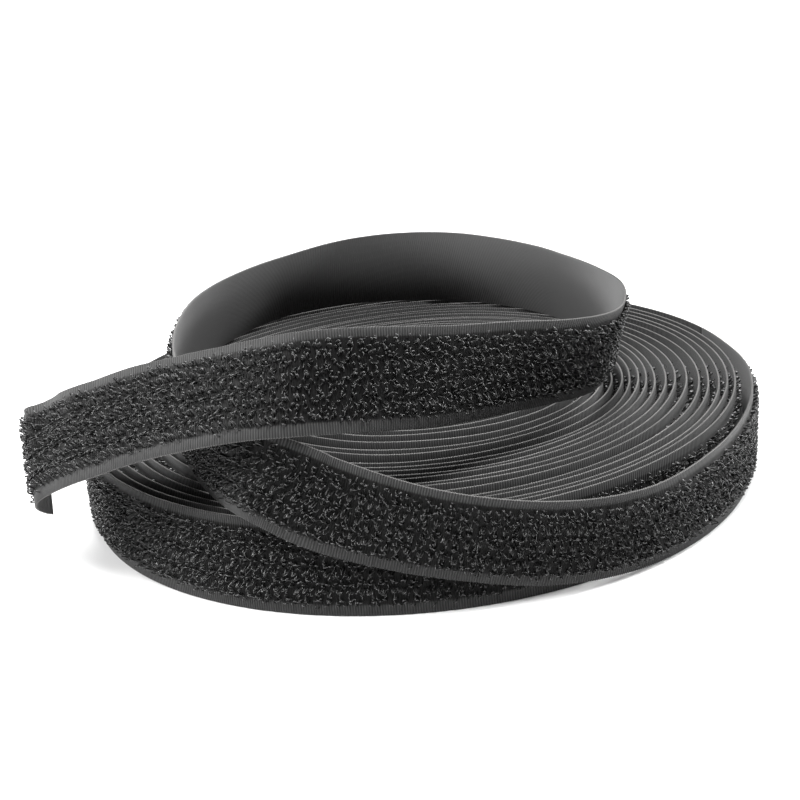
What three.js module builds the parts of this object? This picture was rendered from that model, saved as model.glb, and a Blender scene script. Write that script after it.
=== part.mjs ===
// Roll of woven hook tape, lying on the edges of its turns, with its last turn run loose:
// the loose length climbs over the roll, stands on top as a smaller loop, crosses its own
// edge at the front and ends in the air on the left. Sizes in millimetres, +Z up.
import * as THREE from 'three';

// The tape.
const TAPE_WIDTH = 20;
const BACKING = 0.6;
const HOOK_HEIGHT = 1.4;
const SELVEDGE = 2.2;
const FIELD_SLOPE = 0.4;

// The roll's axis in the part's frame, whose origin is the middle of the whole footprint.
const AXIS_X = 3.49;
const AXIS_Y = 2.31;

// The wound roll: the wound form is one solid from the eye to the outer turn.
const ROLL_STEP_ANGLE = 20;
const ROLL_COLUMNS = 60;
const GROOVE_DEPTH = 1.8;

// Radius of each turn's outer woven face, innermost turn first, at four sides of the roll.
// The tape runs clockwise from above: right, front, left, back, then the next turn's right.
const TURNS = [
  { right: 26.0, front: 21.5, left: 22.5, back: 24.0 },
  { right: 29.4, front: 23.6, left: 24.8, back: 27.8 },
  { right: 33.2, front: 25.6, left: 27.4, back: 31.6 },
  { right: 37.0, front: 27.9, left: 30.4, back: 35.2 },
  { right: 40.2, front: 32.4, left: 34.2, back: 38.6 },
  { right: 42.6, front: 36.2, left: 37.6, back: 41.6 },
  { right: 44.6, front: 38.7, left: 40.2, back: 44.0 },
  { right: 46.8, front: 43.2, left: 43.4, back: 46.4 },
  { right: 48.6, front: 45.9, left: 45.9, back: 48.4 },
  { right: 50.4, front: 47.9, left: 47.9, back: 50.2 },
  { right: 52.2, front: 49.8, left: 49.9, back: 52.0 },
  { right: 54.0, front: 52.3, left: 52.2, back: 54.0 },
  { right: 56.2, front: 54.8, left: 54.4, back: 56.2 },
  { right: 58.4, front: 56.9, left: 56.6, back: 58.2 },
  { right: 60.8, front: 59.6, left: 59.0, back: 60.8 },
  { right: 63.4, front: 64.0, left: 62.6, back: 63.6 },
  { right: 65.6, front: 66.1, left: 64.8, back: 65.8 },
  { right: 67.6, front: 68.6, left: 68.2, back: 68.5 },
  { right: 69.5, front: 70.3, left: 70.9, back: 71.1 },
  { right: 71.3, front: 72.0, left: 73.2, back: 73.6 },
];
const FIRST_BACK = 22.5;
const LAST_RIGHT = 73.3;
const SIDES = ['right', 'front', 'left', 'back'];

// The loose length. Each row is a place along the tape's lower edge on its hook side, about
// the roll's axis, and lean is how far the tape tips outward there, in degrees.
const LOOSE = [
  // against the roll's side, right to front, lifting off the surface
  { x: 69.45, y: 24.85, z: 0, lean: 0 },
  { x: 72.6, y: 13.05, z: 0, lean: 0 },
  { x: 73.8, y: 0, z: 0, lean: 2 },
  { x: 69.7, y: -25.2, z: 0, lean: 4 },
  { x: 57.2, y: -47.8, z: 0, lean: 9 },
  { x: 39.6, y: -63.2, z: 0.5, lean: 15 },
  { x: 23.0, y: -70.8, z: 2.8, lean: 15 },
  { x: 6.5, y: -74.3, z: 7.0, lean: 14 },
  { x: -9.1, y: -73.9, z: 11.1, lean: 7 },
  { x: -23.1, y: -71.2, z: 15.5, lean: -3 },
  { x: -34.8, y: -66.1, z: 20.7, lean: -5 },
  // up on the roll's top: left wall, back wall and right wall of the loop
  { x: -41.8, y: -53.0, z: 20.7, lean: -5 },
  { x: -47.5, y: -36.0, z: 20.6, lean: -3 },
  { x: -51.0, y: -18.0, z: 20.6, lean: -3 },
  { x: -53.0, y: 2.0, z: 20.6, lean: -7 },
  { x: -52.0, y: 23.2, z: 20.7, lean: -13 },
  { x: -44.5, y: 45.0, z: 20.7, lean: -20 },
  { x: -32.2, y: 61.0, z: 20.7, lean: -24 },
  { x: -17.0, y: 67.5, z: 20.7, lean: -20 },
  { x: 0, y: 66.6, z: 20.7, lean: -15 },
  { x: 15.0, y: 61.3, z: 20.7, lean: -14 },
  { x: 27.5, y: 52.0, z: 20.7, lean: -15 },
  { x: 36.6, y: 40.3, z: 20.9, lean: -15 },
  { x: 41.9, y: 25.0, z: 21.4, lean: -11 },
  { x: 43.9, y: 8.0, z: 22.2, lean: -1 },
  { x: 43.2, y: -8.0, z: 23.4, lean: 11 },
  { x: 40.2, y: -20.6, z: 24.8, lean: 17 },
  // the front wall, rising and tipping back as it crosses over the lower pass
  { x: 35.4, y: -32.4, z: 27.0, lean: 21 },
  { x: 28.0, y: -40.8, z: 28.9, lean: 20 },
  { x: 17.0, y: -50.0, z: 31.0, lean: 10 },
  { x: 4.6, y: -59.7, z: 33.4, lean: -1 },
  { x: -9.0, y: -68.0, z: 36.8, lean: -14 },
  { x: -22.0, y: -72.3, z: 38.9, lean: -30 },
  { x: -33.2, y: -70.9, z: 38.5, lean: -39 },
  // the free end, drooping on the left and curled back on itself
  { x: -44.0, y: -66.8, z: 36.1, lean: -38 },
  { x: -54.0, y: -60.9, z: 32.5, lean: -34 },
  { x: -63.3, y: -55.1, z: 28.2, lean: -31 },
  { x: -71.5, y: -48.8, z: 23.8, lean: -26 },
  { x: -76.6, y: -43.9, z: 20.2, lean: -24 },
  { x: -78.5, y: -42.2, z: 18.6, lean: -19 },
  { x: -79.5, y: -40.4, z: 16.9, lean: -6 },
  { x: -79.7, y: -38.6, z: 15.4, lean: 8 },
  { x: -79.1, y: -36.9, z: 14.0, lean: 20 },
  { x: -78.0, y: -35.4, z: 12.8, lean: 27 },
  { x: -77.4, y: -34.8, z: 12.4, lean: 28 },
];
const LOOSE_CUTS_PER_ROW = 3;

const radians = (degrees) => degrees * Math.PI / 180;

// Smooth curve through evenly spaced values.
function smoothValue(values, at) {
  const last = values.length - 1;
  const i = Math.min(last - 1, Math.max(0, Math.floor(at)));
  const t = at - i;
  const before = i > 0 ? values[i - 1] : 2 * values[i] - values[i + 1];
  const after = i + 2 <= last ? values[i + 2] : 2 * values[i + 1] - values[i];
  const slope0 = (values[i + 1] - before) / 2;
  const slope1 = (after - values[i]) / 2;
  const t2 = t * t;
  const t3 = t2 * t;
  return (2 * t3 - 3 * t2 + 1) * values[i] + (t3 - 2 * t2 + t) * slope0
    + (3 * t2 - 2 * t3) * values[i + 1] + (t3 - t2) * slope1;
}

const spiralRadii = [FIRST_BACK];
for (const turn of TURNS) {
  for (const side of SIDES) spiralRadii.push(turn[side]);
}
spiralRadii.push(LAST_RIGHT);

// Radius of the tape's outer woven face after a number of turns from the right-hand side.
function turnRadius(turns) {
  return smoothValue(spiralRadii, turns * SIDES.length + 1);
}

function solidGeometry(points, faces) {
  const geometry = new THREE.BufferGeometry();
  const flat = [];
  for (const point of points) flat.push(point.x, point.y, point.z);
  geometry.setAttribute('position', new THREE.Float32BufferAttribute(flat, 3));
  geometry.setIndex(faces.flat());
  geometry.computeVertexNormals();
  return geometry;
}

// The roll's section at one angle, from the eye outward over the top and down the outside:
// the edge of each turn stands up, with a groove down to the hooks between two turns.
function rollSection(turnsPast) {
  const section = [];
  const put = (r, z) => section.push({ r, z });
  const inner = turnRadius(turnsPast) - BACKING;
  put(inner, 0);
  for (let k = 0; k < TURNS.length; k += 1) {
    const outerFace = turnRadius(k + turnsPast);
    if (k > 0) {
      const below = turnRadius(k - 1 + turnsPast);
      put((below + outerFace - BACKING) / 2, TAPE_WIDTH - GROOVE_DEPTH);
    }
    put(outerFace - BACKING, TAPE_WIDTH);
    put(outerFace, TAPE_WIDTH);
  }
  const outer = turnRadius(TURNS.length - 1 + turnsPast);
  put(outer, TAPE_WIDTH - SELVEDGE);
  put(outer + HOOK_HEIGHT, TAPE_WIDTH - SELVEDGE - FIELD_SLOPE);
  put(outer + HOOK_HEIGHT, SELVEDGE + FIELD_SLOPE);
  put(outer, SELVEDGE);
  put(outer, 0);
  return section;
}

const POINTS_PER_TURN = 3;
const OUTSIDE_POINTS = 5;

function woundRoll() {
  const points = [];
  const faces = [];
  const columns = [];
  const firstPast = -ROLL_STEP_ANGLE / 360;
  for (let c = 0; c <= ROLL_COLUMNS; c += 1) {
    const past = firstPast + c / ROLL_COLUMNS;
    const angle = -past * 2 * Math.PI;
    const section = rollSection(past);
    const column = section.map((p, j) => {
      // The last column meets the first one turn further out, so they share those points.
      const shared = c === ROLL_COLUMNS && j > 0 && j < section.length - OUTSIDE_POINTS - POINTS_PER_TURN;
      if (shared) return columns[0][j + POINTS_PER_TURN];
      const x = AXIS_X + p.r * Math.cos(angle);
      const y = AXIS_Y + p.r * Math.sin(angle);
      points.push(new THREE.Vector3(x, y, p.z));
      return points.length - 1;
    });
    columns.push(column);
  }
  const first = columns[0];
  const last = columns[ROLL_COLUMNS];
  const count = first.length;
  for (let c = 0; c < ROLL_COLUMNS; c += 1) {
    const a = columns[c];
    const b = columns[c + 1];
    for (let j = 0; j + 1 < count; j += 1) {
      faces.push([a[j], b[j], b[j + 1]], [a[j], b[j + 1], a[j + 1]]);
    }
    // The flat underside. At the step its two edges also share each other's end points.
    const rimA = a[count - 1];
    const rimB = b[count - 1];
    if (c + 1 === ROLL_COLUMNS) {
      faces.push([rimA, rimB, first[count - 1]], [rimA, first[count - 1], b[0]], [rimA, b[0], a[0]]);
    } else if (c === 0) {
      faces.push([rimA, rimB, b[0]], [rimA, b[0], last[0]], [last[0], b[0], a[0]]);
    } else {
      faces.push([rimA, rimB, b[0]], [rimA, b[0], a[0]]);
    }
  }
  // The step where the loose turn leaves, and the inner end of the tape in the eye.
  const topEnd = count - OUTSIDE_POINTS;
  const outerStep = [...last.slice(topEnd - POINTS_PER_TURN - 1), ...first.slice(topEnd).reverse()];
  const innerStep = [...first.slice(0, POINTS_PER_TURN + 2), last[0]];
  closeStep(points, faces, outerStep, false);
  closeStep(points, faces, innerStep, true);
  return solidGeometry(points, faces);
}

// Fills a flat outline that lies in the plane of the step, wound in the outline's order or against it.
function closeStep(points, faces, outline, inOrder) {
  const flat = outline.map((i) => {
    const p = points[i];
    return new THREE.Vector2(Math.hypot(p.x - AXIS_X, p.y - AXIS_Y), p.z);
  });
  const clockwise = THREE.ShapeUtils.isClockWise(flat);
  for (const [a, b, c] of THREE.ShapeUtils.triangulateShape(flat, [])) {
    const turned = clockwise === inOrder;
    faces.push(turned ? [outline[a], outline[c], outline[b]] : [outline[a], outline[b], outline[c]]);
  }
}

// Places along the loose length, smoothed through the rows of the table.
function loosePath() {
  const rows = LOOSE.map((row) => new THREE.Vector4(row.x, row.y, row.z, row.lean));
  const gap = [];
  for (let i = 1; i < rows.length; i += 1) {
    const d = rows[i].clone().sub(rows[i - 1]);
    gap.push(Math.hypot(d.x, d.y, d.z));
  }
  const slope = rows.map((row, i) => {
    if (i === 0) return rows[1].clone().sub(row).divideScalar(gap[0]);
    if (i === rows.length - 1) return row.clone().sub(rows[i - 1]).divideScalar(gap[i - 1]);
    const back = row.clone().sub(rows[i - 1]).divideScalar(gap[i - 1]);
    const on = rows[i + 1].clone().sub(row).divideScalar(gap[i]);
    return back.multiplyScalar(gap[i]).add(on.multiplyScalar(gap[i - 1])).divideScalar(gap[i] + gap[i - 1]);
  });
  const places = [];
  for (let i = 0; i + 1 < rows.length; i += 1) {
    const cuts = i + 2 === rows.length ? LOOSE_CUTS_PER_ROW + 1 : LOOSE_CUTS_PER_ROW;
    for (let c = 0; c < cuts; c += 1) {
      const t = c / LOOSE_CUTS_PER_ROW;
      places.push(loosePlace(rows[i], rows[i + 1], slope[i], slope[i + 1], gap[i], t));
    }
  }
  return places;
}

function loosePlace(from, to, slopeFrom, slopeTo, gap, t) {
  const t2 = t * t;
  const t3 = t2 * t;
  const at = from.clone().multiplyScalar(2 * t3 - 3 * t2 + 1)
    .add(slopeFrom.clone().multiplyScalar((t3 - 2 * t2 + t) * gap))
    .add(to.clone().multiplyScalar(3 * t2 - 2 * t3))
    .add(slopeTo.clone().multiplyScalar((t3 - t2) * gap));
  const heading = from.clone().multiplyScalar(6 * t2 - 6 * t)
    .add(slopeFrom.clone().multiplyScalar((3 * t2 - 4 * t + 1) * gap))
    .add(to.clone().multiplyScalar(6 * t - 6 * t2))
    .add(slopeTo.clone().multiplyScalar((3 * t2 - 2 * t) * gap));
  const along = new THREE.Vector3(heading.x, heading.y, heading.z).normalize();
  const outward = new THREE.Vector3(-along.y, along.x, 0).normalize();
  const upright = along.clone().cross(outward);
  const lean = radians(at.w);
  const across = upright.multiplyScalar(Math.cos(lean)).add(outward.multiplyScalar(Math.sin(lean)));
  const face = across.clone().cross(along);
  // No edge dips below the surface the roll lies on.
  const edge = new THREE.Vector3(at.x + AXIS_X, at.y + AXIS_Y, Math.max(at.z, 0));
  return { edge, across, face };
}

// The tape's section: across its width, and out from the woven face on the hook side.
const SECTION = [
  { across: 0, out: -BACKING },
  { across: 0, out: 0 },
  { across: SELVEDGE, out: 0 },
  { across: SELVEDGE + FIELD_SLOPE, out: HOOK_HEIGHT },
  { across: TAPE_WIDTH - SELVEDGE - FIELD_SLOPE, out: HOOK_HEIGHT },
  { across: TAPE_WIDTH - SELVEDGE, out: 0 },
  { across: TAPE_WIDTH, out: 0 },
  { across: TAPE_WIDTH, out: -BACKING },
];

function looseTurn() {
  const points = [];
  const faces = [];
  const places = loosePath();
  for (const place of places) {
    for (const corner of SECTION) {
      points.push(place.edge.clone()
        .addScaledVector(place.across, corner.across)
        .addScaledVector(place.face, corner.out));
    }
  }
  const n = SECTION.length;
  for (let i = 0; i + 1 < places.length; i += 1) {
    for (let j = 0; j < n; j += 1) {
      const k = (j + 1) % n;
      const a = i * n;
      const b = a + n;
      faces.push([a + j, a + k, b + k], [a + j, b + k, b + j]);
    }
  }
  const flat = SECTION.map((corner) => new THREE.Vector2(corner.out, corner.across));
  const clockwise = THREE.ShapeUtils.isClockWise(flat);
  const end = (places.length - 1) * n;
  for (const [a, b, c] of THREE.ShapeUtils.triangulateShape(flat, [])) {
    faces.push(clockwise ? [a, b, c] : [a, c, b]);
    faces.push(clockwise ? [end + a, end + c, end + b] : [end + a, end + b, end + c]);
  }
  return solidGeometry(points, faces);
}

function addPiece(group, name, geometry, color) {
  const material = new THREE.MeshStandardMaterial({ color, roughness: 0.75, metalness: 0 });
  const mesh = new THREE.Mesh(geometry, material);
  mesh.name = name;
  group.add(mesh);
}

const group = new THREE.Group();
group.name = 'hook_tape_roll';
addPiece(group, 'wound_roll', woundRoll(), 0x232325);
addPiece(group, 'loose_turn', looseTurn(), 0x2a2a2c);

export default group;
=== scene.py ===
"""Dressed roll of hook tape: one woven strip with its ribs and selvedges, and every hook that shows.

Sizes in the tables are millimetres about the roll's own axis; meshes are made in metres.
"""
import math

import bpy
import numpy as np
from mathutils import Matrix


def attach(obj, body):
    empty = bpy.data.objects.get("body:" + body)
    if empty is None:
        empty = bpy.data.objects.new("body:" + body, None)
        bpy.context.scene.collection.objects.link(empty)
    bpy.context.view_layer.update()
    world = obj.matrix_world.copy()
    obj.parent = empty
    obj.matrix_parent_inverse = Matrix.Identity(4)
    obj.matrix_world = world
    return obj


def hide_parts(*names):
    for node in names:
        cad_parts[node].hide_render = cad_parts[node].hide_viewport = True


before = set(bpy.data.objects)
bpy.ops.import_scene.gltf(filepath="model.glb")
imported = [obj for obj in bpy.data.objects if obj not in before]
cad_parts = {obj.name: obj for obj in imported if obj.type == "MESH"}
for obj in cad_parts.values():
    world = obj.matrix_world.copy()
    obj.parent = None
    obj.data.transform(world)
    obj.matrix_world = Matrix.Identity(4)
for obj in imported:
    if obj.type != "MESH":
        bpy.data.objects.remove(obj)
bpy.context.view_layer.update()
random = np.random.default_rng(20)

MM = 0.001

# The tape.
TAPE_WIDTH = 20.0
BACKING = 0.55
WOUND_COLUMN = 1.5
PATH_STEP = 0.5
RIB_PITCH = 0.53
RIB_HEIGHT = 0.04
EDGE_SCALLOP = 0.05
EDGE_ROUND = 0.12
SELVEDGE = 2.2
TOP_SELVEDGE = 1.6
UNDER_HOOKS_FROM = 0.4

# Deep between two wound turns the hooks are a plain bed, up to this far across the tape. It stays
# this clear of the next turn's back, and sinks away over a short length where the outer turn begins.
BED_TOP = 13.5
BED_CLEARANCE = 0.15
BED_FADE = 3.0

# The hooks: rows run along the tape, and neighbouring rows lean towards each other in pairs,
# but for the top row, which leans up over its selvedge.
HOOK_ROWS = 8
HOOK_REPEAT = 4.25
HOOK_HEIGHT = 1.4
FIELD_MARGIN = 0.25
END_MARGIN = 0.3
ROOT_DEPTH = 0.05
FILAMENT = 0.15
BETWEEN_FILAMENT = 0.17
FILAMENT_TAPER = 0.85
NEXT_TURN_CLEARANCE = 0.12
LEAST_ROOM = 0.2

# The roll's axis in the part's frame.
AXIS_X = 3.49
AXIS_Y = 2.31

# Radius of each turn's outer woven face, innermost turn first, at four sides of the roll.
TURNS = [
    # right, front, left, back
    (26.0, 21.5, 22.5, 24.0),
    (29.4, 23.6, 24.8, 27.8),
    (33.2, 25.6, 27.4, 31.6),
    (37.0, 27.9, 30.4, 35.2),
    (40.2, 32.4, 34.2, 38.6),
    (42.6, 36.2, 37.6, 41.6),
    (44.6, 38.7, 40.2, 44.0),
    (46.8, 43.2, 43.4, 46.4),
    (48.6, 45.9, 45.9, 48.4),
    (50.4, 47.9, 47.9, 50.2),
    (52.2, 49.8, 49.9, 52.0),
    (54.0, 52.3, 52.2, 54.0),
    (56.2, 54.8, 54.4, 56.2),
    (58.4, 56.9, 56.6, 58.2),
    (60.8, 59.6, 59.0, 60.8),
    (63.4, 64.0, 62.6, 63.6),
    (65.6, 66.1, 64.8, 65.8),
    (67.6, 68.6, 68.2, 68.5),
    (69.5, 70.3, 70.9, 71.1),
    (71.3, 72.0, 73.2, 73.6),
]
FIRST_BACK = 22.5
LAST_RIGHT = 73.3
FIRST_TURN = -20 / 360
SPIRAL_END = 19.86
SPIRAL_STEP = 3 / 360
BARE_OUTSIDE_FROM = 19.08

# How uneven the turns are: their edges lift, and they have slight corners and ripples.
EDGE_LIFTS = [
    # height, pace, start
    (0.12, 9.1, 0),
    (0.10, 23.7, 1),
]
CORNER_DEPTH = 0.22
CORNERS_PER_TURN = 4.37
CORNER_MEAN = 0.12
RIPPLE_DEPTH = 0.07
RIPPLE_PACE = 51.3
ROUND_OUTER_TURNS = 1.6
EVEN_OUTER_TURNS = 1
FADE_TURNS = 0.5

# The loose length: a place on the lower edge of its hook side, and its outward lean in degrees.
LOOSE = [
    # x, y, z, lean
    (69.45, 24.85, 0, 0),
    (72.6, 13.05, 0, 0),
    (73.8, 0, 0, 2),
    (69.7, -25.2, 0, 4),
    (57.2, -47.8, 0, 9),
    (39.6, -63.2, 0.5, 15),
    (23.0, -70.8, 2.8, 15),
    (6.5, -74.3, 7.0, 14),
    (-9.1, -73.9, 11.1, 7),
    (-23.1, -71.2, 15.5, -3),
    (-34.8, -66.1, 20.7, -5),
    (-41.8, -53.0, 20.7, -5),
    (-47.5, -36.0, 20.6, -3),
    (-51.0, -18.0, 20.6, -3),
    (-53.0, 2.0, 20.6, -7),
    (-52.0, 23.2, 20.7, -13),
    (-44.5, 45.0, 20.7, -20),
    (-32.2, 61.0, 20.7, -24),
    (-17.0, 67.5, 20.7, -20),
    (0, 66.6, 20.7, -15),
    (15.0, 61.3, 20.7, -14),
    (27.5, 52.0, 20.7, -15),
    (36.6, 40.3, 20.9, -15),
    (41.9, 25.0, 21.4, -11),
    (43.9, 8.0, 22.2, -1),
    (43.2, -8.0, 23.4, 11),
    (40.2, -20.6, 24.8, 17),
    (35.4, -32.4, 27.0, 21),
    (28.0, -40.8, 28.9, 20),
    (17.0, -50.0, 31.0, 10),
    (4.6, -59.7, 33.4, -1),
    (-9.0, -68.0, 36.8, -14),
    (-22.0, -72.3, 38.9, -30),
    (-33.2, -70.9, 38.5, -39),
    (-44.0, -66.8, 36.1, -38),
    (-54.0, -60.9, 32.5, -34),
    (-63.3, -55.1, 28.2, -31),
    (-71.5, -48.8, 23.8, -26),
    (-76.6, -43.9, 20.2, -24),
    (-78.5, -42.2, 18.6, -19),
    (-79.5, -40.4, 16.9, -6),
    (-79.7, -38.6, 15.4, 8),
    (-79.1, -36.9, 14.0, 20),
    (-78.0, -35.4, 12.8, 27),
    (-77.4, -34.8, 12.4, 28),
]


# The tape's path.

def turn_radius(turns):
    """Outer face's radius after a number of turns from the right-hand side, smooth between sides."""
    values = np.array([FIRST_BACK] + [r for turn in TURNS for r in turn] + [LAST_RIGHT])
    values = np.concatenate([[2 * values[0] - values[1]], values, [2 * values[-1] - values[-2]]])
    at = np.asarray(turns, float) * 4 + 1
    i = np.clip(np.floor(at).astype(int), 0, len(values) - 4)
    t = at - i
    p0, p1, p2, p3 = (values[i + k] for k in range(4))
    slope_a = (p2 - p0) / 2
    slope_b = (p3 - p1) / 2
    t2, t3 = t * t, t * t * t
    smooth = ((2 * t3 - 3 * t2 + 1) * p1 + (t3 - 2 * t2 + t) * slope_a
              + (3 * t2 - 2 * t3) * p2 + (t3 - t2) * slope_b)
    return smooth + turn_corners(np.asarray(turns, float))


def turn_corners(turns):
    """Slight corners where a turn doesn't lie quite round, dying out before the outer turns."""
    corners = (CORNER_DEPTH * np.abs(np.sin(np.pi * turns * CORNERS_PER_TURN)) - CORNER_MEAN
               + RIPPLE_DEPTH * np.sin(turns * RIPPLE_PACE))
    return corners * np.clip((len(TURNS) - ROUND_OUTER_TURNS - turns) / FADE_TURNS, 0, 1)


def path_rows():
    """Rows of x, y, z, lean from the tape's inner end in the eye to its free end."""
    turns = np.arange(FIRST_TURN, SPIRAL_END, SPIRAL_STEP)
    radius = turn_radius(turns)
    angle = -turns * 2 * np.pi
    lift = sum(height * (1 + np.sin(turns * pace + start)) for height, pace, start in EDGE_LIFTS)
    lift = lift * np.clip((SPIRAL_END - EVEN_OUTER_TURNS - turns) / FADE_TURNS, 0, 1)
    spiral = np.stack([radius * np.cos(angle), radius * np.sin(angle), lift, 0 * turns], 1)
    return np.concatenate([spiral, np.array(LOOSE, float)]), turns


def sample_path(rows, step):
    """Dense places on a smooth curve through the rows, with their headings."""
    gap = np.linalg.norm(np.diff(rows[:, :3], axis=0), axis=1)
    pace = np.diff(rows, axis=0) / gap[:, None]
    slope = np.empty_like(rows)
    slope[0], slope[-1] = pace[0], pace[-1]
    slope[1:-1] = ((pace[:-1] * gap[1:, None] + pace[1:] * gap[:-1, None])
                   / (gap[1:] + gap[:-1])[:, None])
    at, heading, starts = [], [], []
    count = 0
    for i in range(len(gap)):
        n = max(1, math.ceil(gap[i] / step))
        last = i == len(gap) - 1
        t = (np.arange(n + 1 if last else n) / n)[:, None]
        t2, t3 = t * t, t * t * t
        at.append((2 * t3 - 3 * t2 + 1) * rows[i] + (t3 - 2 * t2 + t) * gap[i] * slope[i]
                  + (3 * t2 - 2 * t3) * rows[i + 1] + (t3 - t2) * gap[i] * slope[i + 1])
        heading.append((6 * t2 - 6 * t) * rows[i] + (3 * t2 - 4 * t + 1) * gap[i] * slope[i]
                       + (6 * t - 6 * t2) * rows[i + 1] + (3 * t2 - 2 * t) * gap[i] * slope[i + 1])
        starts.append(count)
        count += len(t)
    return np.concatenate(at), np.concatenate(heading), np.array(starts)


def unit(v):
    return v / np.linalg.norm(v, axis=-1, keepdims=True)


class Tape:
    """Place and directions of the tape's lower hook-side edge at any distance along it."""

    def __init__(self):
        rows, turns = path_rows()
        at, heading, starts = sample_path(rows, PATH_STEP)
        along = unit(heading[:, :3])
        outward = unit(np.stack([-along[:, 1], along[:, 0], 0 * along[:, 0]], 1))
        upright = np.cross(along, outward)
        lean = np.radians(at[:, 3:4])
        across = np.cos(lean) * upright + np.sin(lean) * outward
        self.edge = at[:, :3] + np.array([AXIS_X, AXIS_Y, 0])
        self.edge[:, 2] = np.maximum(self.edge[:, 2], 0)
        self.across = across
        self.face = unit(np.cross(across, along))
        middle = self.edge + across * TAPE_WIDTH / 2
        self.s = np.concatenate([[0], np.cumsum(np.linalg.norm(np.diff(middle, axis=0), axis=1))])
        self.turn_s = self.s[starts[:len(turns)]]
        self.turns = turns
        self.loose_from = self.s[starts[len(turns)]]
        self.length = self.s[-1]

    def s_of_turn(self, turns):
        return np.interp(turns, self.turns, self.turn_s)

    def turn_of_s(self, s):
        return np.interp(s, self.turn_s, self.turns)

    def spread(self, s):
        return [np.stack([np.interp(s, self.s, v[:, k]) for k in range(3)], -1)
                for v in (self.edge, self.across, self.face)]

    def point(self, s, across, out):
        """Points in millimetres, for arrays of distance along, across and out from the woven face."""
        edge, up, face = self.spread(s)
        return edge + unit(up) * across[..., None] + unit(face) * out[..., None]


tape = Tape()


# Meshes.

def add_mesh(name, points, loops, sizes, numbers, material):
    """A mesh from arrays: points in millimetres, corner lists, corners per face, numbers per point."""
    mesh = bpy.data.meshes.new(name)
    mesh.vertices.add(len(points))
    mesh.vertices.foreach_set("co", (points * MM).astype(np.float32).ravel())
    mesh.loops.add(len(loops))
    mesh.loops.foreach_set("vertex_index", loops.astype(np.int32))
    mesh.polygons.add(len(sizes))
    starts = np.concatenate([[0], np.cumsum(sizes)[:-1]])
    mesh.polygons.foreach_set("loop_start", starts.astype(np.int32))
    mesh.polygons.foreach_set("loop_total", sizes.astype(np.int32))
    mesh.polygons.foreach_set("use_smooth", np.full(len(sizes), True))
    for key, values in numbers.items():
        layer = mesh.attributes.new(key, "FLOAT", "POINT")
        layer.data.foreach_set("value", values.astype(np.float32).ravel())
    mesh.update(calc_edges=True)
    mesh.validate()
    mesh.materials.append(material)
    obj = bpy.data.objects.new(name, mesh)
    bpy.context.scene.collection.objects.link(obj)
    return obj


def section():
    """The backing's section: across, out, 1 on the turned edge for its painted highlight, 1 under hooks for
    the painted shade there, 1 where a bed is raised.
    """
    w, b, e = TAPE_WIDTH, -BACKING, EDGE_ROUND
    low, high, step = SELVEDGE, TAPE_WIDTH - TOP_SELVEDGE, UNDER_HOOKS_FROM
    hook_side = [(e, 0, 0, 0, 0), (low, 0, 0, 0, 0), (low + step, 0, 0, 1, 0), (low + 2 * step, 0, 0, 1, 1),
                 (BED_TOP, 0, 0, 1, 1), (BED_TOP + step, 0, 0, 1, 0),
                 (high - step, 0, 0, 1, 0), (high, 0, 0, 0, 0), (w - e, 0, 0, 0, 0)]
    top = [(w, -e, 1, 0, 0), (w, b + e, 1, 0, 0)]
    back = [(w - e, b, 0, 0, 0), (w / 2, b, 0, 0, 0), (e, b, 0, 0, 0)]
    bottom = [(0, b + e, 1, 0, 0), (0, -e, 1, 0, 0)]
    return np.array(hook_side + top + back + bottom, float)


def strip(name, s_from, s_to, column, ribs, bed, material):
    """A stretch of the woven backing as a closed mesh, its bed raised by bed(s) out of the face.

    Where ribs is 1, its columns are half a rib apart and stand up and down in turn.
    """
    cols = max(2, int(round((s_to - s_from) / column)))
    s = np.linspace(s_from, s_to, cols + 1)
    profile = section()
    n = len(profile)
    crest = np.where(np.arange(cols + 1) % 2 == 0, 1.0, -1.0)[:, None] * ribs
    width = profile[None, :, 0] + (profile[None, :, 0] / (TAPE_WIDTH / 2) - 1) * EDGE_SCALLOP * (crest - 1)
    side = np.where(profile[:, 1] > -BACKING / 2, 1.0, -1.0)[None, :]
    out = profile[None, :, 1] + side * RIB_HEIGHT * (crest - 1) + profile[None, :, 4] * bed(s)[:, None]
    along = np.repeat(s[:, None], n, 1)
    points = tape.point(along, width, out)
    points[..., 2] = np.maximum(points[..., 2], 0.0)
    i = np.arange(cols)[:, None] * n
    j = np.arange(n)[None, :]
    k = (j + 1) % n
    quads = np.stack([i + j, i + k, i + n + k, i + n + j], -1).reshape(-1, 4)
    first = np.arange(n)[::-1]
    last = cols * n + np.arange(n)
    loops = np.concatenate([quads.ravel(), first, last])
    sizes = np.concatenate([np.full(len(quads), 4), [n, n]])
    # The edge number marks the turned edges for their painted highlight.
    numbers = {"len": along, "wid": width + 0 * along, "edge": profile[None, :, 2] + 0 * along,
               # This number marks the backing under the hooks for its painted shade.
               "hook_shade": profile[None, :, 3] + 0 * along,
               # Only the loose length's back face is marked, for its painted light.
               "back": np.where(profile[None, :, 1] < -BACKING + 0.01, ribs, 0.0) + 0 * along}
    return add_mesh(name, points.reshape(-1, 3), loops, sizes, numbers, material)


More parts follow.
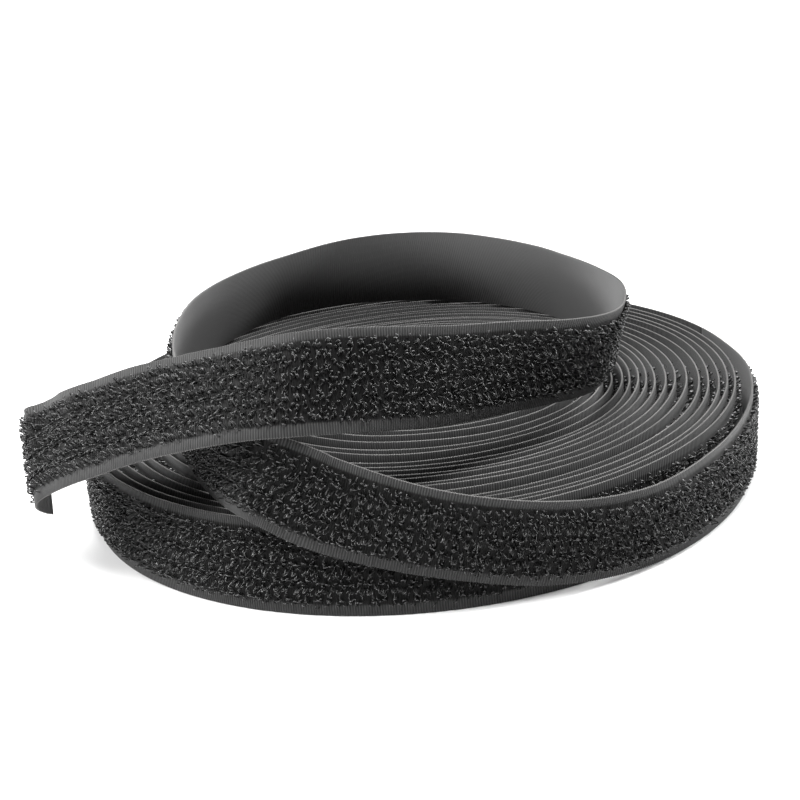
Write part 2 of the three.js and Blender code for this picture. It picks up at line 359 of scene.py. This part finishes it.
def tubes(name, lines, radii, tone, tip, material, sides=3):
    """Thin round filaments: lines is filament by point by xyz, radii and tip per point, tone each."""
    count, steps, _ = lines.shape
    run = np.gradient(lines, axis=1)
    run = unit(run)
    flat = np.cross(lines[:, steps // 2] - lines[:, 0], lines[:, -1] - lines[:, 0])
    size = np.linalg.norm(flat, axis=1, keepdims=True)
    spare = np.cross(run[:, 0], np.array([0.3, 0.5, 0.8]))
    flat = np.where(size > 1e-6, flat / np.maximum(size, 1e-9), unit(spare))
    side_a = unit(flat[:, None, :] - run * np.sum(flat[:, None, :] * run, -1, keepdims=True))
    side_b = np.cross(run, side_a)
    turn = 2 * np.pi * np.arange(sides) / sides
    ring = (side_a[:, :, None, :] * np.cos(turn)[:, None] + side_b[:, :, None, :] * np.sin(turn)[:, None])
    points = lines[:, :, None, :] + ring * radii[:, :, None, None]
    points[..., 2] = np.maximum(points[..., 2], 0.0)
    base = (np.arange(count) * steps * sides)[:, None, None]
    row = (np.arange(steps - 1) * sides)[None, :, None]
    j = np.arange(sides)[None, None, :]
    k = (j + 1) % sides
    quads = np.stack([base + row + j, base + row + k, base + row + sides + k, base + row + sides + j], -1)
    quads = quads.reshape(-1, 4)
    ends = (base[:, 0] + (steps - 1) * sides) + np.arange(sides)[None, :]
    loops = np.concatenate([quads.ravel(), ends.ravel()])
    sizes = np.concatenate([np.full(len(quads), 4), np.full(count, sides)])
    numbers = {
        "tone": np.repeat(tone, steps * sides),
        "tip": np.repeat(tip.ravel(), sides),
    }
    return add_mesh(name, points.reshape(-1, 3), loops, sizes, numbers, material)


# Materials.

# Greys of the parts, as linear values.
WEAVE_DARK = 0.024
WEAVE_LIGHT = 0.060
# Painted shade in the valleys between the ribs.
RIB_VALLEY_SHADE = 0.012
# Painted shade on the backing under the dense hooks, also on the raised bed between wound turns.
SHADE_UNDER_HOOKS = 0.003
# Painted light on the back face of the loose length only, standing in for light on the loop's inner walls.
PAINTED_LIGHT_ON_BACK = 0.066
# Painted highlight along the turned edges of the tape.
TURNED_EDGE_HIGHLIGHT = 0.13
FILAMENT_DARK = 0.008
FILAMENT_LIGHT = 0.046
# Pale cut tips: partly the cut nylon's own lighter colour, partly a painted glint.
CUT_TIP_AND_GLINT = 0.40
FLOOR_GREY = 0.6


def node_material(name):
    material = bpy.data.materials.new(name)
    material.use_nodes = True
    nodes = material.node_tree.nodes
    shader = next(x for x in nodes if x.type == "BSDF_PRINCIPLED")
    return material, nodes, material.node_tree.links, shader


def number(nodes, key):
    node = nodes.new("ShaderNodeAttribute")
    node.attribute_name = key
    return node.outputs["Fac"]


def maths(nodes, links, kind, a, b=None):
    node = nodes.new("ShaderNodeMath")
    node.operation = kind
    for socket, value in zip(node.inputs, (a, b)):
        if value is None:
            continue
        if isinstance(value, (int, float)):
            socket.default_value = value
        else:
            links.new(value, socket)
    return node.outputs[0]


def mix_colour(nodes, links, share, a, b):
    node = nodes.new("ShaderNodeMix")
    node.data_type = "RGBA"
    for socket, value in ((node.inputs[0], share), (node.inputs[6], a), (node.inputs[7], b)):
        if isinstance(value, tuple):
            socket.default_value = value
        elif isinstance(value, (int, float)):
            socket.default_value = value
        else:
            links.new(value, socket)
    return node.outputs[2]


def grey(value, warm=0.0):
    return (value * (1 + warm), value, value * (1 - warm), 1)


def woven_material():
    """Black ribbed weave: fine cross ribs with painted shade in their valleys, uneven yarn, near-black
    painted shade under the hooks, painted light paling the loose length's back, and turned edges made paler
    with a painted highlight.
    """
    material, nodes, links, shader = node_material("woven_backing")
    length, width, edge = number(nodes, "len"), number(nodes, "wid"), number(nodes, "edge")
    rib = maths(nodes, links, "SINE", maths(nodes, links, "MULTIPLY", length, 2 * math.pi / RIB_PITCH))
    which = maths(nodes, links, "FLOOR", maths(nodes, links, "DIVIDE", length, RIB_PITCH))
    place = nodes.new("ShaderNodeCombineXYZ")
    links.new(which, place.inputs[0])
    links.new(maths(nodes, links, "MULTIPLY", width, 0.35), place.inputs[1])
    uneven = nodes.new("ShaderNodeTexNoise")
    uneven.inputs["Scale"].default_value = 1.3
    uneven.inputs["Detail"].default_value = 2.0
    links.new(place.outputs[0], uneven.inputs["Vector"])
    dark = mix_colour(nodes, links, uneven.outputs["Fac"], grey(WEAVE_DARK), grey(WEAVE_LIGHT))
    # The rib valleys are darkened with painted shade.
    valley_shade = maths(nodes, links, "MULTIPLY", maths(nodes, links, "SUBTRACT", 1.0, rib), 0.46)
    dark = mix_colour(nodes, links, valley_shade, dark, grey(RIB_VALLEY_SHADE))
    # Near black under the hooks: painted shade from the dense hooks, on the raised bed as well.
    dark = mix_colour(nodes, links, number(nodes, "hook_shade"), dark, grey(SHADE_UNDER_HOOKS))
    # Paler back on the loose length: painted light on its back face.
    dark = mix_colour(nodes, links, number(nodes, "back"), dark, grey(PAINTED_LIGHT_ON_BACK))
    slow = nodes.new("ShaderNodeTexNoise")
    slow.noise_dimensions = "1D"
    slow.inputs["Scale"].default_value = 0.035
    slow.inputs["Detail"].default_value = 3.0
    links.new(length, slow.inputs["W"])
    # The painted edge highlight is strongest on the rib crests and varies slowly along the tape.
    crest_highlight = maths(nodes, links, "MULTIPLY_ADD", rib, 0.22)
    crest_highlight.node.inputs[2].default_value = 0.62
    crest_highlight = maths(nodes, links, "MULTIPLY", crest_highlight, maths(nodes, links, "ADD", slow.outputs["Fac"], 0.35))
    # The turned edges are lit up with a painted highlight.
    pale = maths(nodes, links, "MULTIPLY", maths(nodes, links, "POWER", edge, 1.5), crest_highlight)
    colour = mix_colour(nodes, links, pale, dark, grey(TURNED_EDGE_HIGHLIGHT, 0.02))
    links.new(colour, shader.inputs["Base Color"])
    shader.inputs["Roughness"].default_value = 0.55
    shader.inputs["Specular IOR Level"].default_value = 0.12
    shader.inputs["Sheen Weight"].default_value = 0.08
    shader.inputs["Sheen Roughness"].default_value = 0.45
    bump = nodes.new("ShaderNodeBump")
    bump.inputs["Distance"].default_value = 0.00008
    bump.inputs["Strength"].default_value = 0.6
    links.new(rib, bump.inputs["Height"])
    links.new(bump.outputs[0], shader.inputs["Normal"])
    return material


def hook_material():
    """Black nylon filament: dark and glossy, each one a little different, paler where it is cut: partly the
    cut end's own colour, partly a painted glint.
    """
    material, nodes, links, shader = node_material("hook_filament")
    tone, tip = number(nodes, "tone"), number(nodes, "tip")
    body = mix_colour(nodes, links, tone, grey(FILAMENT_DARK), grey(FILAMENT_LIGHT))
    # Cut ends are paler, partly their own colour and partly a painted glint.
    colour = mix_colour(nodes, links, tip, body, grey(CUT_TIP_AND_GLINT))
    links.new(colour, shader.inputs["Base Color"])
    shader.inputs["Roughness"].default_value = 0.2
    shader.inputs["Specular IOR Level"].default_value = 0.42
    return material


def floor_material():
    """Plain pale floor that also glows a little, as a lit studio sweep does."""
    material, nodes, links, shader = node_material("studio_floor")
    shader.inputs["Base Color"].default_value = grey(FLOOR_GREY)
    shader.inputs["Roughness"].default_value = 0.9
    shader.inputs["Specular IOR Level"].default_value = 0.1
    shader.inputs["Emission Color"].default_value = (1, 1, 1, 1)
    shader.inputs["Emission Strength"].default_value = 0.15
    return material


WOVEN = woven_material()
FILAMENT_MATERIAL = hook_material()


# The woven strip.

def turn_gap(s):
    """Distance from a wound turn's woven face to the back of the next turn."""
    turns = tape.turn_of_s(s)
    return turn_radius(turns + 1) - turn_radius(turns) - BACKING


def no_bed(s):
    return 0 * s


def wound_bed(s):
    """The plain bed deep between two turns reaches almost to the next turn's back."""
    height = np.maximum(turn_gap(s) - BED_CLEARANCE, LEAST_ROOM)
    return height * np.clip((outside_from - s) / BED_FADE, 0, 1)


loose_from = float(tape.loose_from)
outside_from = float(tape.s_of_turn(BARE_OUTSIDE_FROM))
wound = strip("wound_tape", 0.0, loose_from, WOUND_COLUMN, 0.0, wound_bed, WOVEN)
loose = strip("loose_tape", loose_from, tape.length, RIB_PITCH / 2, 1.0, no_bed, WOVEN)


# The hooks.

# The filaments of one repeat, two tufts: start along and across, span, height, reach as a share of
# a full arch, the way it faces in degrees, and its lean across. Millimetres, for a row that leans up.
TUFT = [
    # along, across, span, height, reach, facing, lean
    (-1.45, -0.45, 0.90, 1.35, 1.00, 6, 0.45),
    (-1.05, -0.10, 0.80, 1.25, 0.95, -12, 0.50),
    (-0.75, -0.40, 0.75, 1.30, 0.78, 80, 0.40),
    (-1.25, 0.30, 0.80, 1.05, 0.85, 30, 0.25),
    (-0.10, -1.05, 0.80, 1.10, 0.95, 15, 0.10),
    (0.75, -0.45, 0.90, 1.30, 1.00, -6, 0.45),
    (1.15, -0.05, 0.80, 1.20, 0.75, 100, 0.45),
    (1.50, -0.35, 0.80, 1.30, 0.95, 12, 0.40),
    (2.00, -1.10, 0.80, 1.15, 0.80, 60, 0.15),
]
# How far the filaments differ from the table: lengths in millimetres, shares, and degrees.
SPREAD = {"reach": 0.05, "span": 0.12, "height": 0.08, "facing": 24, "along": 0.26, "across": 0.24,
          "lean": 0.12, "tone": 0.3, "tip": 0.5}
MEAN_TONE = 0.45
MEAN_TIP = 0.5
DRIFT_ALONG = 0.12
CUT_UNDER_REACH = 0.99
POINTS = 6
BETWEEN_POINTS = 4
BETWEEN_ROWS = [6, 7]
BETWEEN_KINDS = [0, 2, 6]


def hook_lines(s_from, s_to, rows, kinds, room_at, points):
    """Filament centrelines in tape coordinates for the tufts that start between two distances."""
    first_row = SELVEDGE + FIELD_MARGIN
    pitch = (TAPE_WIDTH - TOP_SELVEDGE - FIELD_MARGIN - first_row) / HOOK_ROWS
    along, across, out, tone, tip = [], [], [], [], []
    for row in rows:
        centre = first_row + (row + 0.5) * pitch
        leans_up = row % 2 == 0 or row == HOOK_ROWS - 1
        way_up = 1.0 if leans_up else -1.0
        shift = HOOK_REPEAT / 2 if (row // 2 + row) % 2 else 0.0
        tufts = np.arange(shift, tape.length, HOOK_REPEAT)
        tufts = tufts[(tufts >= s_from) & (tufts < s_to)]
        room = room_at(tufts)[:, None]
        for kind in kinds:
            start_along, start_across, span, height, reach, facing, lean = TUFT[kind]
            d_reach, d_span, d_height, d_facing, d_along, d_across, d_lean, d_tone = random.normal(
                0, 1, (8, len(tufts)))
            part = np.linspace(0, 1, points)[None, :]
            arch = np.clip(reach + SPREAD["reach"] * d_reach, 0.5, 1.1)
            turned = np.pi * arch[:, None] * part
            half_span = span * (1 + SPREAD["span"] * d_span) / 2
            forward = half_span[:, None] * (1 - np.cos(turned))
            tall = np.clip(height * (1 + SPREAD["height"] * d_height), 0.3, HOOK_HEIGHT)
            rise = tall[:, None] * np.sin(np.minimum(turned, np.pi))
            way = np.radians(facing + SPREAD["facing"] * d_facing)[:, None]
            foot = tufts + start_along + SPREAD["along"] * d_along
            along.append(foot[:, None] + forward * np.cos(way) + DRIFT_ALONG * rise)
            side_foot = start_across + (SPREAD["across"] * d_across)[:, None]
            side_lean = (lean + SPREAD["lean"] * d_lean)[:, None] * rise
            across.append(way_up * (side_foot + forward * np.sin(way) + side_lean) + centre)
            squash = np.minimum(1, room / HOOK_HEIGHT)
            out.append(np.minimum(rise, HOOK_HEIGHT) * squash - ROOT_DEPTH)
            tone.append(np.clip(MEAN_TONE + SPREAD["tone"] * d_tone, 0, 1))
            pale = np.zeros((len(tufts), points))
            # The cut tip's paleness, partly its own colour and partly a painted glint.
            if reach < CUT_UNDER_REACH:
                pale[:, -1] = np.clip(MEAN_TIP + SPREAD["tip"] * d_reach, 0, 1)
            tip.append(pale)
    return [np.concatenate(x) for x in (along, across, out, tone, tip)]


def hooks(name, s_from, s_to, rows, kinds, room_at, points=POINTS, thick=FILAMENT):
    """One piece of filaments; those that would stick past the tape's ends are left out."""
    along, across, out, tone, tip = hook_lines(s_from, s_to, rows, kinds, room_at, points)
    keep = (along.min(1) > END_MARGIN) & (along.max(1) < tape.length - END_MARGIN)
    along, across, out, tone, tip = (x[keep] for x in (along, across, out, tone, tip))
    lines = tape.point(along, across, out)
    radii = np.full(along.shape, thick)
    radii[:, -1] *= FILAMENT_TAPER
    return tubes(name, lines, radii, tone, tip, FILAMENT_MATERIAL)


def open_room(s):
    return np.full(len(s), HOOK_HEIGHT)


def wound_room(s):
    """Height left for a hook between two wound turns."""
    return np.clip(turn_gap(s) - NEXT_TURN_CLEARANCE, LEAST_ROOM, HOOK_HEIGHT)


ALL_ROWS = range(HOOK_ROWS)
ALL_KINDS = range(len(TUFT))
wound_pieces, loose_pieces = [], []
middle = (outside_from + loose_from) / 2
wound_pieces.append(hooks("wound_hooks_1", outside_from, middle, ALL_ROWS, ALL_KINDS, open_room))
wound_pieces.append(hooks("wound_hooks_2", middle, loose_from, ALL_ROWS, ALL_KINDS, open_room))
wound_pieces.append(hooks("wound_hooks_between", 0.0, outside_from, BETWEEN_ROWS, BETWEEN_KINDS,
                          wound_room, BETWEEN_POINTS, BETWEEN_FILAMENT))
LOOSE_PIECES = 3
stretch = (tape.length - loose_from) / LOOSE_PIECES
for part in range(LOOSE_PIECES):
    piece_from = loose_from + part * stretch
    loose_pieces.append(hooks(f"loose_hooks_{part + 1}", piece_from, piece_from + stretch,
                              ALL_ROWS, ALL_KINDS, open_room))

for piece in [wound] + wound_pieces:
    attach(piece, "root")
for piece in [loose] + loose_pieces:
    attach(piece, "root")
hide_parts("wound_roll")
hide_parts("loose_turn")


# Floor, light and camera.

FLOOR_HALF = 3.0
floor_mesh = bpy.data.meshes.new("floor")
floor_mesh.from_pydata(
    [(-FLOOR_HALF, -FLOOR_HALF, 0), (FLOOR_HALF, -FLOOR_HALF, 0),
     (FLOOR_HALF, FLOOR_HALF, 0), (-FLOOR_HALF, FLOOR_HALF, 0)], [], [(0, 1, 2, 3)])
floor_mesh.materials.append(floor_material())
floor = bpy.data.objects.new("floor", floor_mesh)
bpy.context.scene.collection.objects.link(floor)


# Soft lights, in metres and watts.
AIM = (0, 0, 0.02)
LIGHTS = [
    # name, place, target, size, power
    ("key_right", (0.9, 0.25, 0.75), AIM, 0.4, 18),
    ("side_left", (-0.9, 0.1, 0.45), AIM, 0.4, 15),
    ("top_back", (0.1, 0.5, 1.1), (0, 0, 0), 0.5, 15),
    ("front_top", (0.05, -0.5, 1.0), AIM, 0.35, 21),
]
WORLD_STRENGTH = 0.3


def area_light(name, place, target, size, power):
    data = bpy.data.lights.new(name, "AREA")
    data.shape = "SQUARE"
    data.size = size
    data.energy = power
    lamp = bpy.data.objects.new(name, data)
    bpy.context.scene.collection.objects.link(lamp)
    back = unit(np.array(place, float) - np.array(target, float))
    side = unit(np.cross([0, 0, 1.0], back) if abs(back[2]) < 0.99 else np.array([1.0, 0, 0]))
    up = np.cross(back, side)
    turn = Matrix([[side[k], up[k], back[k], place[k]] for k in range(3)] + [[0, 0, 0, 1]])
    lamp.matrix_world = turn


for light in LIGHTS:
    area_light(*light)

world = bpy.data.worlds.new("studio")
bpy.context.scene.world = world
world.use_nodes = True
sky = next(x for x in world.node_tree.nodes if x.type == "BACKGROUND")
sky.inputs["Color"].default_value = (1, 1, 1, 1)
sky.inputs["Strength"].default_value = WORLD_STRENGTH

# The camera, from the photograph's view: place about the roll's axis, aim, roll and lens.
CAMERA_PLACE = (0.0, -419.2, 170.5)
CAMERA_YAW = -0.42
CAMERA_PITCH = 19.99
CAMERA_ROLL = -5.47
CAMERA_LENS = 89.64

camera_data = bpy.data.cameras.new("camera")
camera_data.sensor_width = 36.0
camera_data.lens = CAMERA_LENS
camera_data.clip_start = 0.01
camera = bpy.data.objects.new("camera", camera_data)
bpy.context.scene.collection.objects.link(camera)
yaw, pitch, roll = (math.radians(x) for x in (CAMERA_YAW, CAMERA_PITCH, CAMERA_ROLL))
forward = np.array([math.sin(yaw) * math.cos(pitch), math.cos(yaw) * math.cos(pitch), -math.sin(pitch)])
right = np.array([math.cos(yaw), -math.sin(yaw), 0])
up = np.cross(right, forward)
side = math.cos(roll) * right + math.sin(roll) * up
top = -math.sin(roll) * right + math.cos(roll) * up
place = (np.array(CAMERA_PLACE) + np.array([AXIS_X, AXIS_Y, 0])) * MM
camera.matrix_world = Matrix([[side[k], top[k], -forward[k], place[k]] for k in range(3)] + [[0, 0, 0, 1]])
bpy.context.scene.camera = camera
bpy.context.scene.view_settings.view_transform = "Standard"
